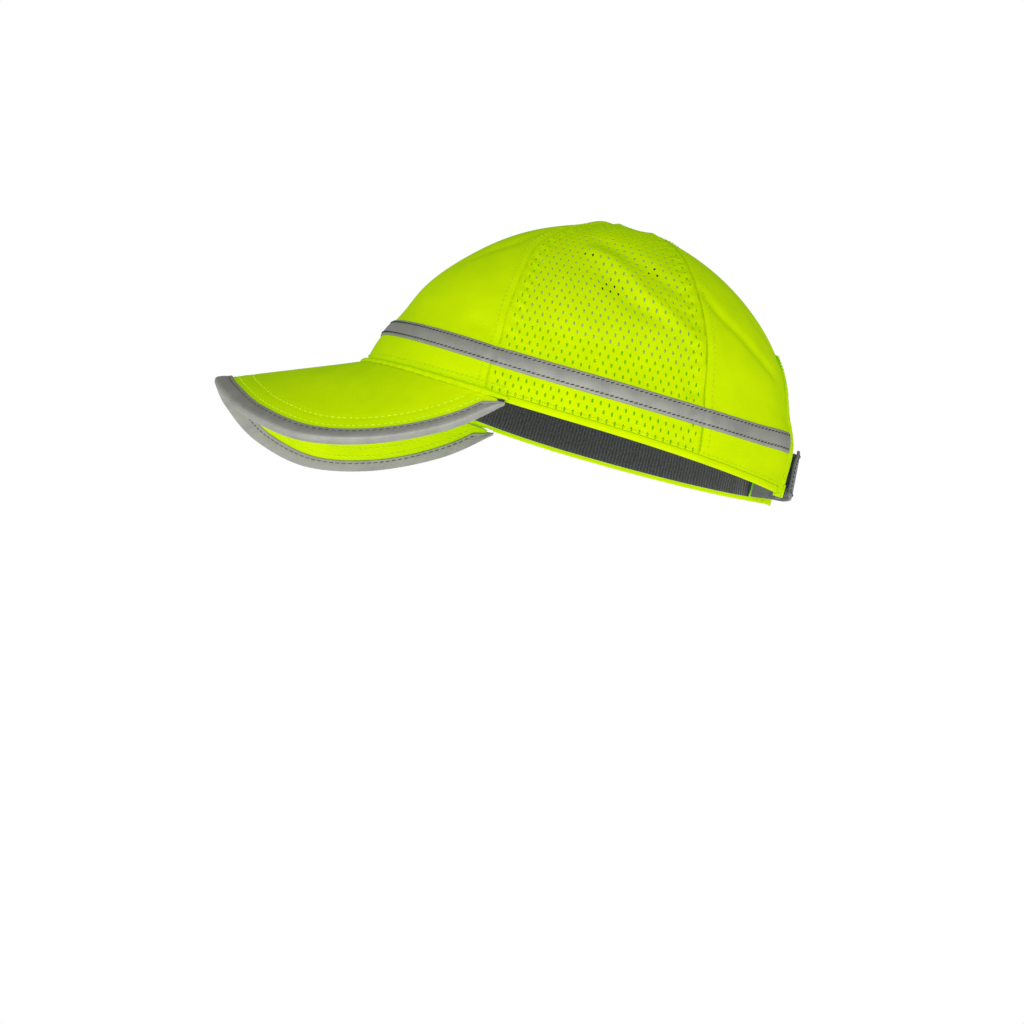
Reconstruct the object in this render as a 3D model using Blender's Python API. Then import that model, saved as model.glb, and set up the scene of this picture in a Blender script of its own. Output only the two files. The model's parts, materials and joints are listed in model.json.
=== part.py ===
"""High-visibility bump cap: a sewn six-panel crown with mesh sides, a stiffened visor, a removable
protective shell with foam pads, and a hook-and-loop size strap across a rear arch.

The cap is drawn in millimetres in its own frame, in which the hem lies in the plane Z = 0:
+X is the wearer's left, -Y is forward to the visor and +Z is up. A longitude is 0 at the visor's
centre, 90 degrees at the wearer's left and 180 at the rear; a latitude is 0 at the hem and 90 at
the top button. The whole cap is then tipped back until it stands on its visor and rear strap.
"""

import math

import bmesh
import bpy
import numpy as np
from mathutils import Vector

MM = 0.001

# Crown
CROWN_HEIGHT = 106.5
FRONT_REACH = 108.0
REAR_REACH = 109.0
HALF_WIDTH = 87.0
FRONT_POWER = 1.78
REAR_POWER = 1.93
SIDE_POWER = 2.15
WAIST_DEPTH = 2.2
WAIST_HEIGHT = 33.0
WAIST_SPREAD = 13.0
SIDE_WAIST_SHARE = 0.6
FRONT_LIFT = 5.3
DIMPLE_DEPTH = 5.0
DIMPLE_RADIUS = 10.0
PANEL_THICKNESS = 1.2
PANEL_TOP = 85.5
SEAM_GAP = 0.2
PANEL_ROWS = 11

# Seams, as longitude at a few latitudes
FRONT_SEAM = ((0, 63), (20, 59.5), (36, 54), (54, 43.5), (90, 38))
REAR_SEAM = ((0, 121), (45, 119.5), (62, 122), (90, 135))

# Rear arch
ARCH_HALF_ANGLE = 20.0
ARCH_LATITUDE = 36.9
ARCH_POWER = 2.2
ARCH_ANGLES = (0, 9, 18, 29, 41, 53, 65, 77, 90)
ARCH_FOOT_ANGLE = 3

# Trims on the crown
TAPE_WIDTH = 9.3
TAPE_HEIGHTS = ((0, 17.8), (90, 14.2), (180, 20.0))
TAPE_END = 156.0
TAPE_LAYER = (0.7, 0.3)
HEM_START = 72.5
HEM_END = 155.5
HEM_LEAF = 5.0
ARCH_LEAF = 6.0
BINDING_LAYER = (1.0, 0.5, -2.3, -2.8)
BINDING_LIP = (0.4, 1.0)
SWEATBAND_END = 151.0
SWEATBAND_HEIGHTS = (0.6, 31.0)
SWEATBAND_LAYER = (-3.3, -5.3)
SEAM_TAPE_LAYER = (-2.0, -2.5)
SEAM_TAPE_HALF_WIDTH = 6.0
SEAM_TAPE_LATITUDES = (20.0, 76.0)
REAR_TAPE_START = ARCH_LATITUDE + 6.0

# Top button and its rivet
BUTTON_RADIUS = 7.5
BUTTON_HEIGHT = 2.0
BUTTON_LIFT = 2.3
RIVET_RADIUS = 6.5
SHANK_RADIUS = 2.0

# Visor: outer edge of one half from the tip to the corner, as (forward, side, up)
VISOR_EDGE = (
    (176.0, 0.0, -23.3),
    (170.0, 34.0, -29.6),
    (153.0, 63.0, -39.3),
    (126.0, 80.5, -43.8),
    (93.5, 85.2, -36.6),
    (60.7, 83.9, -20.5),
    (36.0, 82.0, -0.4),
)
VISOR_ROOT_LONGITUDE = 70.5
VISOR_ROOT_CLEARANCE = 1.2
VISOR_ROOT_OUT = 0.9
VISOR_SPAN = 0.955
VISOR_COLUMNS = 24
VISOR_LIP = 1.2
BOARD_LAYER = (0.7, -0.7)
TOP_COVER_LAYER = (1.5, 1.0)
UNDER_COVER_LAYER = (-1.0, -1.5)
VISOR_BINDING_LAYER = (2.4, 1.95, -1.95, -2.4)
VISOR_BINDING_LEAF = 8.0

# Rear strap
STRAP_HEIGHTS = (1.0, 24.0)
STRAP_LEAN = 0.09
STRAP_STRAIGHT = 13.0
STRAP_TUCKED = 19.0
LOOP_STRAP_SPAN = (152.3, 190.0)
LOOP_STRAP_LAYER = (-3.3, -4.2)
LOOP_PATCH_SPAN = (169.0, 189.0)
LOOP_PATCH_LAYER = (-1.9, -2.8)
HOOK_PATCH_SPAN = (168.5, 188.0)
HOOK_PATCH_LAYER = (-0.5, -1.4)
HOOK_STRAP_SPAN = (166.0, 197.2)
HOOK_STRAP_OUT = 0.9
HOOK_STRAP_STEP = 4.2
HOOK_STRAP_STEP_START = 190.5
STRAP_BASE_SPAN = (197.9, 207.7)
STRAP_THICKNESS = 1.0
HINGE_LONGITUDE = 197.55

# Protective shell and its pads
SHELL_LAYER = (-5.5, -7.5)
SHELL_RIM = 20.0
SHELL_REAR_RISE = 21.0
SHELL_RISE_SPAN = (122.0, 152.0)
SHELL_TOP = 79.0
SHELL_COLUMNS = 40
SHELL_ROWS = 9
VENT_ROWS = (3, 5)
PAD_LAYER = (-8.4, -12.6)
CROWN_PAD_LATITUDES = (58.0, 78.0)
CROWN_PAD_COLUMNS = 24
# Name, longitudes, latitudes and columns of each foam pad below the crown pad
FOAM_PADS = (
    ("front_pad", (-30.0, 30.0), (25.0, 44.0), 6),
    ("side_pad_left", (66.0, 108.0), (27.0, 46.0), 4),
    ("side_pad_right", (-108.0, -66.0), (27.0, 46.0), 4),
    ("rear_pad", (162.0, 198.0), (44.0, 55.0), 4),
)

# Stand
TIP_BACK = 11.3

LIME = (0.62, 0.85, 0.02)
LIME_MESH = (0.58, 0.82, 0.03)
SILVER = (0.42, 0.43, 0.40)
STRAP_GREY = (0.09, 0.10, 0.10)
SWEAT_GREY = (0.05, 0.05, 0.055)
SHELL_WHITE = (0.72, 0.73, 0.72)
FOAM_BLACK = (0.03, 0.03, 0.032)
BUTTON_BLUE_GREY = (0.05, 0.06, 0.07)
BOARD_WHITE = (0.7, 0.7, 0.68)
STEEL = (0.55, 0.56, 0.57)


def smooth_step(low, high, value):
    share = min(max((value - low) / (high - low), 0.0), 1.0)
    return share * share * (3 - 2 * share)


def read_curve(points, at):
    """Value at `at` on a smooth curve through (position, value) points."""
    places = [p[0] for p in points]
    values = [p[1] for p in points]
    last = len(points) - 2
    i = min(max(int(np.searchsorted(places, at, side="right")) - 1, 0), last)
    width = places[i + 1] - places[i]
    t = min(max((at - places[i]) / width, 0.0), 1.0)
    slope = [
        (values[min(k + 1, last + 1)] - values[max(k - 1, 0)])
        / (places[min(k + 1, last + 1)] - places[max(k - 1, 0)])
        for k in (i, i + 1)
    ]
    return (
        (2 * t**3 - 3 * t**2 + 1) * values[i]
        + (t**3 - 2 * t**2 + t) * width * slope[0]
        + (3 * t**2 - 2 * t**3) * values[i + 1]
        + (t**3 - t**2) * width * slope[1]
    )


def profile(z, reach, power):
    return reach * max(1 - (max(z, 0.0) / CROWN_HEIGHT) ** power, 0.0) ** (1 / power)


def crown_surface(longitude, latitude):
    """Point on the crown's outer surface."""
    turn = math.radians(longitude)
    climb = math.sin(math.radians(latitude))
    z = CROWN_HEIGHT * climb
    waist = WAIST_DEPTH * math.exp(-(((z - WAIST_HEIGHT) / WAIST_SPREAD) ** 2))
    ahead = math.cos(turn)
    if ahead > 0:
        reach = profile(z, FRONT_REACH, FRONT_POWER)
    else:
        reach = profile(z, REAR_REACH, REAR_POWER)
    forward = (reach - waist) * ahead
    side = (profile(z, HALF_WIDTH, SIDE_POWER) - SIDE_WAIST_SHARE * waist) * math.sin(turn)
    dimple = DIMPLE_DEPTH * math.exp(-(math.hypot(forward, side) / DIMPLE_RADIUS) ** 2)
    lift = FRONT_LIFT * max(ahead, 0.0) ** 2 * (1 - climb) ** 2
    return np.array((side, -forward, z - dimple + lift))


def unit(vector):
    return vector / np.linalg.norm(vector)


def crown_normal(longitude, latitude, step=0.2):
    low = max(latitude - step, 0.0)
    across = crown_surface(longitude + step, latitude) - crown_surface(longitude - step, latitude)
    up = crown_surface(longitude, latitude + step) - crown_surface(longitude, low)
    return unit(np.cross(across, up))


def crown(longitude, latitude, out=0.0):
    """Point `out` mm outside the crown's outer surface."""
    return crown_surface(longitude, latitude) + out * crown_normal(longitude, latitude)


def latitude_at(height):
    return math.degrees(math.asin(height / CROWN_HEIGHT))


def degrees_round(length, latitude):
    """Turn that a length along the crown takes at a latitude."""
    across = crown_surface(90.0, latitude)[0]
    return math.degrees(length / max(across, 1.0))


def finish_node(name, builder, material, parent, origin=(0.0, 0.0, 0.0)):
    """Turns a bmesh drawn in the cap's frame, in mm, into a node in metres."""
    loose = [v for v in builder.verts if not v.link_faces]
    bmesh.ops.delete(builder, geom=loose, context="VERTS")
    bmesh.ops.recalc_face_normals(builder, faces=builder.faces)
    for vert in builder.verts:
        vert.co = (vert.co - Vector(origin)) * MM
    mesh = bpy.data.meshes.new(name)
    builder.to_mesh(mesh)
    builder.free()
    mesh.materials.append(material)
    mesh.shade_smooth()
    mesh.set_sharp_from_angle(angle=math.radians(40))
    node = bpy.data.objects.new(name, mesh)
    bpy.context.scene.collection.objects.link(node)
    node.parent = parent
    return node


def slab(name, material, parent, place, columns, rows, ring=False, is_hole=None, origin=(0, 0, 0)):
    """Solid between two skins. place(column, row, skin) is a point; skin 0 is outer, 1 is inner."""
    builder = bmesh.new()
    points = [
        [[builder.verts.new(place(c, r, skin)) for skin in (0, 1)] for r in rows]
        for c in columns
    ]
    across = len(columns) if ring else len(columns) - 1
    up = len(rows) - 1

    def filled(i, j):
        if ring:
            i %= across
        inside = 0 <= i < across and 0 <= j < up
        return inside and not (is_hole and is_hole(i, j))

    for i in range(across):
        for j in range(up):
            if not filled(i, j):
                continue
            a, b = points[i], points[(i + 1) % len(columns)]
            for skin in (0, 1):
                builder.faces.new((a[j][skin], b[j][skin], b[j + 1][skin], a[j + 1][skin]))
            if not filled(i, j - 1):
                builder.faces.new((a[j][0], a[j][1], b[j][1], b[j][0]))
            if not filled(i, j + 1):
                builder.faces.new((a[j + 1][0], b[j + 1][0], b[j + 1][1], a[j + 1][1]))
            if not filled(i - 1, j):
                builder.faces.new((a[j][0], a[j + 1][0], a[j + 1][1], a[j][1]))
            if not filled(i + 1, j):
                builder.faces.new((b[j][0], b[j][1], b[j + 1][1], b[j + 1][0]))
    return finish_node(name, builder, material, parent, origin)


def folded_binding(name, material, parent, stations, layer, lip):
    """Strip folded over an edge. A station is (edge point, way off the edge, outward, leaf)."""
    outer_top, inner_top, inner_bottom, outer_bottom = layer
    inner_lip, outer_lip = lip
    builder = bmesh.new()
    rings = []
    for point, off, outward, leaf in stations:
        section = (
            (-leaf, outer_top),
            (-leaf, inner_top),
            (inner_lip, inner_top),
            (inner_lip, inner_bottom),
            (-leaf, inner_bottom),
            (-leaf, outer_bottom),
            (outer_lip, outer_bottom),
            (outer_lip, outer_top),
        )
        rings.append([builder.verts.new(point + b * off + n * outward) for b, n in section])
    size = len(rings[0])
    for a, b in zip(rings, rings[1:]):
        for k in range(size):
            builder.faces.new((a[k], a[(k + 1) % size], b[(k + 1) % size], b[k]))
    for ring in (rings[0], rings[-1]):
        for corners in ((0, 1, 2, 7), (2, 3, 6, 7), (3, 4, 5, 6)):
            builder.faces.new([ring[k] for k in corners])
    return finish_node(name, builder, material, parent)


def turned(name, material, parent, outline, base, axis_normal, sides=20):
    """Solid turned about the line through `base`; the outline is (radius, height) from axis to axis."""
    x_way = unit(np.cross((0.0, 1.0, 0.0), axis_normal))
    y_way = np.cross(axis_normal, x_way)
    builder = bmesh.new()
    start = builder.verts.new(base + outline[0][1] * axis_normal)
    end = builder.verts.new(base + outline[-1][1] * axis_normal)
    rings = []
    for radius, height in outline[1:-1]:
        ring = []
        for k in range(sides):
            turn = 2 * math.pi * k / sides
            across = radius * (math.cos(turn) * x_way + math.sin(turn) * y_way)
            ring.append(builder.verts.new(base + across + height * axis_normal))
        rings.append(ring)
    for k in range(sides):
        nxt = (k + 1) % sides
        builder.faces.new((start, rings[0][k], rings[0][nxt]))
        builder.faces.new((end, rings[-1][nxt], rings[-1][k]))
        for a, b in zip(rings, rings[1:]):
            builder.faces.new((a[k], b[k], b[nxt], a[nxt]))
    return finish_node(name, builder, material, parent)


def principled(name, color, roughness, metallic=0.0):
    material = bpy.data.materials.new(name)
    material.use_nodes = True
    shader = material.node_tree.nodes["Principled BSDF"]
    shader.inputs["Base Color"].default_value = (*color, 1.0)
    shader.inputs["Roughness"].default_value = roughness
    shader.inputs["Metallic"].default_value = metallic
    return material


def front_seam(latitude):
    return read_curve(FRONT_SEAM, latitude)


def rear_seam(latitude):
    return read_curve(REAR_SEAM, latitude)


def shares(count):
    return [k / count for k in range(count + 1)]


def crown_panel(name, material, parent, start_seam, end_seam, sign, columns):
    """Panel between two seams, from the hem to the button."""

    def place(share, rise, skin):
        latitude = rise * PANEL_TOP
        gap = degrees_round(SEAM_GAP, latitude)
        start = start_seam(latitude) + gap
        end = end_seam(latitude) - gap
        longitude = start + share * (end - start)
        return crown(sign * longitude, latitude, -PANEL_THICKNESS * skin)

    slab(name, material, parent, place, shares(columns), shares(PANEL_ROWS))


def arch_point(angle):
    """Longitude from the rear centre and latitude on the arch's edge; angle 0 is its foot."""
    turn = math.radians(angle)
    aside = max(math.cos(turn), 0.0) ** (2 / ARCH_POWER)
    climb = max(math.sin(turn), 0.0) ** (2 / ARCH_POWER)
    return ARCH_HALF_ANGLE * aside, ARCH_LATITUDE * climb


def rear_panel(name, material, parent, sign):
    """Panel from the rear side seam to the rear centre, cut away by the arch."""
    foot = 180.0 - ARCH_HALF_ANGLE
    columns = [(rear_seam(0) + (foot - rear_seam(0)) * k / 6, 0.0) for k in range(6)]
    for angle in ARCH_ANGLES:
        aside, climb = arch_point(angle)
        columns.append((180.0 - aside, climb))

    def place(column, rise, skin):
        bottom_longitude, bottom = column
        latitude = bottom + rise * (PANEL_TOP - bottom)
        gap = degrees_round(SEAM_GAP, latitude)
        share = (bottom_longitude - rear_seam(bottom)) / (180.0 - rear_seam(bottom))
        start = rear_seam(latitude) + gap
        end = 180.0 - gap
        longitude = start + share * (end - start)
        return crown(sign * longitude, latitude, -PANEL_THICKNESS * skin)

    slab(name, material, parent, place, columns, shares(PANEL_ROWS - 1))


def reflective_tape(material, parent):
    def place(longitude, rise, skin):
        height = read_curve(TAPE_HEIGHTS, abs(longitude)) + rise * TAPE_WIDTH
        return crown(longitude, latitude_at(height), TAPE_LAYER[skin])

    columns = [TAPE_END * (2 * s - 1) for s in shares(56)]
    slab("reflective_tape", material, parent, place, columns, shares(1))


def sweatband(material, parent):
    low, high = SWEATBAND_HEIGHTS

    def place(longitude, rise, skin):
        return crown(longitude, latitude_at(low + rise * (high - low)), SWEATBAND_LAYER[skin])

    columns = [SWEATBAND_END * (2 * s - 1) for s in shares(40)]
    slab("sweatband", material, parent, place, columns, shares(2))


def hem_binding(name, material, parent, sign):
    stations = []
    for share in shares(12):
        longitude = sign * (HEM_START + share * (HEM_END - HEM_START))
        down = np.array((0.0, 0.0, -1.0))
        stations.append((crown(longitude, 0.0), down, crown_normal(longitude, 0.0), HEM_LEAF))
    folded_binding(name, material, parent, stations, BINDING_LAYER, BINDING_LIP)


def arch_binding(material, parent):
    """Strip folded over the edge of the rear arch, from foot to foot."""
    edge = []
    rising = [arch_point(angle) for angle in (ARCH_FOOT_ANGLE, *ARCH_ANGLES[1:])]
    edge += [(180.0 - aside, climb) for aside, climb in rising]
    edge += [(180.0 + aside, climb) for aside, climb in rising[-2::-1]]
    points = [crown(*place) for place in edge]
    stations = []
    for k, place in enumerate(edge):
        along = points[min(k + 1, len(edge) - 1)] - points[max(k - 1, 0)]
        outward = crown_normal(*place)
        stations.append((points[k], unit(np.cross(along, outward)), outward, ARCH_LEAF))
    folded_binding("rear_arch_binding", material, parent, stations, BINDING_LAYER, BINDING_LIP)


def seam_tape(name, material, parent, seam, lowest):
    """Tape that covers a seam inside the crown."""
    top = SEAM_TAPE_LATITUDES[1]

    def place(aside, rise, skin):
        latitude = lowest + rise * (top - lowest)
        longitude = seam(latitude) + aside * degrees_round(SEAM_TAPE_HALF_WIDTH, latitude)
        return crown(longitude, latitude, SEAM_TAPE_LAYER[skin])

    slab(name, material, parent, place, (-1, 0, 1), shares(10))


def top_button(material, rivet_material, parent):
    base = crown_surface(0.0, 90.0) + np.array((0.0, 0.0, BUTTON_LIFT))
    up = np.array((0.0, 0.0, 1.0))
    dome = [(0.0, 0.0), (BUTTON_RADIUS * 0.9, 0.0), (BUTTON_RADIUS, 0.6)]
    for turn in (25, 50, 75):
        angle = math.radians(turn)
        height = 0.6 + (BUTTON_HEIGHT - 0.6) * math.sin(angle)
        dome.append((BUTTON_RADIUS * math.cos(angle), height))
    dome.append((0.0, BUTTON_HEIGHT))
    turned("top_button", material, parent, dome, base, up)
    head = base - np.array((0.0, 0.0, 0.3))
    rivet = [
        (0.0, 0.0),
        (SHANK_RADIUS, 0.0),
        (SHANK_RADIUS, -2.9),
        (RIVET_RADIUS, -3.1),
        (RIVET_RADIUS, -3.7),
        (0.0, -3.9),
    ]
    turned("button_rivet", rivet_material, parent, rivet, head, up)


def visor_edge(position):
    """Outer edge of the visor; position is -1 to 1 from the right corner to the left one."""
    edge = [np.array(p) for p in VISOR_EDGE]
    mirrored = [np.array((f, -s, z)) for f, s, z in VISOR_EDGE[1:]]
    full = mirrored[::-1] + edge
    count = len(full) - 1
    t = (position + 1) / 2 * count
    i = min(int(t), count - 1)
    t -= i
    before = full[i - 1] if i > 0 else 2 * full[0] - full[1]
    after = full[i + 2] if i + 2 <= count else 2 * full[count] - full[count - 1]
    a, b = full[i], full[i + 1]
    forward, side, up = (
        a
        + 0.5 * t * (b - before)
        + t * t * (before - 2.5 * a + 2 * b - 0.5 * after)
        + t**3 * 0.5 * (3 * (a - b) + after - before)
    )
    return np.array((side, -forward, up))


def visor_line(position):
    """Root point and edge point of the straight line across the visor at a position."""
    root = crown(VISOR_ROOT_LONGITUDE * position, 0.0, VISOR_ROOT_OUT)
    edge = visor_edge(position)
    way = unit(edge - root)
    return root + VISOR_ROOT_CLEARANCE * way, edge - VISOR_LIP * way


def visor_normal(position, share, step=0.01):
    def at(p):
        root, edge = visor_line(p)
        return root + share * (edge - root)

    root, edge = visor_line(position)
    return unit(np.cross(edge - root, at(position + step) - at(position - step)))


def visor_positions():
    return [VISOR_SPAN * (2 * s - 1) for s in shares(VISOR_COLUMNS)]


def visor_layer(name, material, parent, layer, rows):
    def place(position, share, skin):
        root, edge = visor_line(position)
        return root + share * (edge - root) + layer[skin] * visor_normal(position, share)

    slab(name, material, parent, place, visor_positions(), shares(rows))


def visor_binding(material, parent):
    stations = []
    for position in visor_positions():
        root, edge = visor_line(position)
        leaf = min(VISOR_BINDING_LEAF, 0.7 * float(np.linalg.norm(edge - root)))
        stations.append((edge, unit(edge - root), visor_normal(position, 1.0), leaf))
    lip = (0.4, VISOR_LIP)
    folded_binding("visor_binding", material, parent, stations, VISOR_BINDING_LAYER, lip)


def strap_surface(longitude, height, out):
    """Place on the rear strap: upright across the arch, and following the crown where it is sewn."""
    upright = 1 - smooth_step(STRAP_STRAIGHT, STRAP_TUCKED, abs(longitude - 180.0))
    wall = crown_surface(longitude, 0.0) + np.array((0.0, 0.0, height))
    outward = crown_normal(longitude, 0.0)
    wall = wall + (out - STRAP_LEAN * height) * outward
    return upright * wall + (1 - upright) * crown(longitude, latitude_at(height), out)


def strap_piece(name, material, parent, span, layers, columns, inset=0.0, origin=(0, 0, 0)):
    low, high = STRAP_HEIGHTS

    def place(longitude, rise, skin):
        height = low + inset + rise * (high - low - 2 * inset)
        return strap_surface(longitude, height, layers(longitude)[skin])

    start, end = span
    stations = [start + s * (end - start) for s in shares(columns)]
    slab(name, material, parent, place, stations, shares(2), origin=origin)


def hook_strap_layers(longitude):
    out = HOOK_STRAP_OUT - HOOK_STRAP_STEP * smooth_step(
        HOOK_STRAP_STEP_START, HOOK_STRAP_SPAN[1], longitude
    )
    return out, out - STRAP_THICKNESS


def rear_straps(grey, patch, parent):
    base_out = HOOK_STRAP_OUT - HOOK_STRAP_STEP
    strap_piece("loop_strap", grey, parent, LOOP_STRAP_SPAN, lambda _: LOOP_STRAP_LAYER, 12)
    strap_piece("loop_patch", patch, parent, LOOP_PATCH_SPAN, lambda _: LOOP_PATCH_LAYER, 6, 2.0)
    strap_piece(
        "strap_base_right",
        grey,
        parent,
        STRAP_BASE_SPAN,
        lambda _: (base_out, base_out - STRAP_THICKNESS),
        3,
    )
    low, high = STRAP_HEIGHTS
    hinge = strap_surface(HINGE_LONGITUDE, (low + high) / 2, base_out)
    fold = bpy.data.objects.new("strap_fold", None)
    bpy.context.scene.collection.objects.link(fold)
    fold.parent = parent
    fold.location = hinge * MM
    strap_piece("hook_strap", grey, fold, HOOK_STRAP_SPAN, hook_strap_layers, 11, origin=hinge)
    strap_piece(
        "hook_patch",
        patch,
        fold,
        HOOK_PATCH_SPAN,
        lambda _: HOOK_PATCH_LAYER,
        6,
        2.0,
        origin=hinge,
    )


def shell_rim(longitude):
    """Latitude of the shell's lower edge, which rises clear of the rear arch."""
    aside = abs((longitude + 180.0) % 360.0 - 180.0)
    return SHELL_RIM + SHELL_REAR_RISE * smooth_step(*SHELL_RISE_SPAN, aside)


def protective_shell(material, parent):
    def place(longitude, rise, skin):
        rim = shell_rim(longitude)
        return crown(longitude, rim + rise * (SHELL_TOP - rim), SHELL_LAYER[skin])

    def is_vent(i, j):
        return j in VENT_ROWS and i % 4 == (1 if j == VENT_ROWS[0] else 3)

    columns = [360.0 * k / SHELL_COLUMNS for k in range(SHELL_COLUMNS)]
    slab(
        "protective_shell",
        material,
        parent,
        place,
        columns,
        shares(SHELL_ROWS),
        ring=True,
        is_hole=is_vent,
    )


def foam_pad(name, material, parent, longitudes, latitudes, columns):
    def place(share, rise, skin):
        longitude = longitudes[0] + share * (longitudes[1] - longitudes[0])
        latitude = latitudes[0] + rise * (latitudes[1] - latitudes[0])
        return crown(longitude, latitude, PAD_LAYER[skin])

    slab(name, material, parent, place, shares(columns), shares(3))


def crown_pad(material, parent):
    low, high = CROWN_PAD_LATITUDES

    def place(longitude, rise, skin):
        return crown(longitude, low + rise * (high - low), PAD_LAYER[skin])

    columns = [360.0 * k / CROWN_PAD_COLUMNS for k in range(CROWN_PAD_COLUMNS)]
    slab("crown_pad", material, parent, place, columns, shares(2), ring=True)


def stand_on_ground(frame):
    """Puts the origin at the centre of the bottom of the whole cap's box."""
    bpy.context.view_layer.update()
    corners = np.array(
        [
            node.matrix_world @ vert.co
            for node in bpy.data.objects
            if node.type == "MESH"
            for vert in node.data.vertices
        ]
    )
    low, high = corners.min(0), corners.max(0)
    frame.location = (-(low[0] + high[0]) / 2, -(low[1] + high[1]) / 2, -low[2])


def empty(name, parent=None):
    thing = bpy.data.objects.new(name, None)
    bpy.context.scene.collection.objects.link(thing)
    thing.parent = parent
    return thing


def main():
    for thing in list(bpy.data.objects):
        bpy.data.objects.remove(thing)
    frame = empty("cap_frame")
    frame.rotation_euler = (math.radians(-TIP_BACK), 0.0, 0.0)
    shell_frame = empty("shell_slide", frame)

    twill = principled("lime_twill", LIME, 0.8)
    mesh_cloth = principled("lime_mesh", LIME_MESH, 0.75)
    silver = principled("reflective_silver", SILVER, 0.45)
    grey = principled("strap_webbing", STRAP_GREY, 0.85)
    patch = principled("hook_and_loop", STRAP_GREY, 0.95)
    sweat = principled("sweatband_terry", SWEAT_GREY, 0.95)
    plastic = principled("shell_plastic", SHELL_WHITE, 0.4)
    foam = principled("eva_foam", FOAM_BLACK, 0.85)
    button = principled("button_cover", BUTTON_BLUE_GREY, 0.7)
    board = principled("visor_board_plastic", BOARD_WHITE, 0.5)
    steel = principled("rivet_steel", STEEL, 0.35, 1.0)

    for side, sign in (("left", 1), ("right", -1)):
        crown_panel(f"front_panel_{side}", twill, frame, lambda _: 0.0, front_seam, sign, 7)
        crown_panel(f"side_mesh_{side}", mesh_cloth, frame, front_seam, rear_seam, sign, 7)
        rear_panel(f"rear_panel_{side}", twill, frame, sign)
        hem_binding(f"hem_binding_{side}", twill, frame, sign)
        for place, seam in (("front", front_seam), ("rear", rear_seam)):
            name = f"seam_tape_{place}_{side}"
            seam_tape(name, twill, frame, lambda w, s=seam: sign * s(w), SEAM_TAPE_LATITUDES[0])
    seam_tape("seam_tape_front_centre", twill, frame, lambda _: 0.0, SEAM_TAPE_LATITUDES[0])
    seam_tape("seam_tape_rear_centre", twill, frame, lambda _: 180.0, REAR_TAPE_START)
    arch_binding(twill, frame)
    reflective_tape(silver, frame)
    sweatband(sweat, frame)
    top_button(button, steel, frame)

    visor_layer("visor_board", board, frame, BOARD_LAYER, 4)
    visor_layer("visor_top_cover", twill, frame, TOP_COVER_LAYER, 4)
    visor_layer("visor_under_cover", twill, frame, UNDER_COVER_LAYER, 4)
    visor_binding(silver, frame)
    rear_straps(grey, patch, frame)

    protective_shell(plastic, shell_frame)
    crown_pad(foam, shell_frame)
    for pad in FOAM_PADS:
        name, longitudes, latitudes, columns = pad
        foam_pad(name, foam, shell_frame, longitudes, latitudes, columns)
    stand_on_ground(frame)


main()
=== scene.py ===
"""Detailed look of the bump cap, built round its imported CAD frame.

Lengths are in mm in the cap's own frame, and angles in degrees, unless a comment says otherwise.
"""

import json
import math

import bmesh
import bpy
import numpy as np
from mathutils import Matrix, Vector


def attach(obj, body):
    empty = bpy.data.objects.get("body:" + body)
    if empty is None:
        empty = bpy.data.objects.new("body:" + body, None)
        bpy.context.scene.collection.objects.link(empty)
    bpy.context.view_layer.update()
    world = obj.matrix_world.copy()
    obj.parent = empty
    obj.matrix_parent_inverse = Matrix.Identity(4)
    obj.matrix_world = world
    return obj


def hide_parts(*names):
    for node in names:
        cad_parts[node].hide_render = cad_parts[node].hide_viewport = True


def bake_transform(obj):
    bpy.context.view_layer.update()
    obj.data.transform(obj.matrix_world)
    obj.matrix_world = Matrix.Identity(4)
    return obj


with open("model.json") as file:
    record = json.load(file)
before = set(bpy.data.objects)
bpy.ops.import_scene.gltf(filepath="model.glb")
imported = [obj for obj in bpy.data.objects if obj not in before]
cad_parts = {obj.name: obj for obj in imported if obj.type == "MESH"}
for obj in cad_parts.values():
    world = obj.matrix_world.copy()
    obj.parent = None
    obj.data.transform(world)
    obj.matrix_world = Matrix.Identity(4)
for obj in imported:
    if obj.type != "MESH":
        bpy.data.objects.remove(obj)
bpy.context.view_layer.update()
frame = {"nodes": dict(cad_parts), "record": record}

MM = 0.001
SIDES = (("left", 1), ("right", -1))
UP = np.array((0.0, 0.0, 1.0))

# Crown surface, the same as the CAD's
CROWN_HEIGHT = 106.5
FRONT_REACH, FRONT_POWER = 108.0, 1.78
REAR_REACH, REAR_POWER = 109.0, 1.93
HALF_WIDTH, SIDE_POWER = 87.0, 2.15
WAIST_DEPTH, WAIST_HEIGHT, WAIST_SPREAD = 2.2, 33.0, 13.0
SIDE_WAIST_SHARE = 0.6
FRONT_LIFT = 5.3
DIMPLE_DEPTH, DIMPLE_RADIUS = 5.0, 10.0
PANEL_TOP = 88.0
RISE_SCALE = 1.75  # mm for each degree of latitude, near enough for a weave
SEAM_GAP = 0.02
FRONT_SEAM = ((0, 63), (20, 59.5), (36, 54), (54, 43.5), (90, 38))
REAR_SEAM = ((0, 121), (45, 119.5), (62, 122), (90, 135))
ARCH_HALF_ANGLE, ARCH_LATITUDE, ARCH_POWER = 20.0, 36.9, 2.2
ARCH_POINTS, ARCH_FOOT = 65, 159.6

TAPE_WIDTH = 9.3
TAPE_ROWS = (0.17, 0.83)  # sewn rows, as shares of the width
TAPE_MARGIN = 0.5  # no slot is cut this close to the tape
TAPE_HEIGHTS = ((0, 17.8), (90, 14.2), (180, 20.0))
TAPE_END = 156.0
HEM_START, HEM_END = 69.0, 155.5

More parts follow.
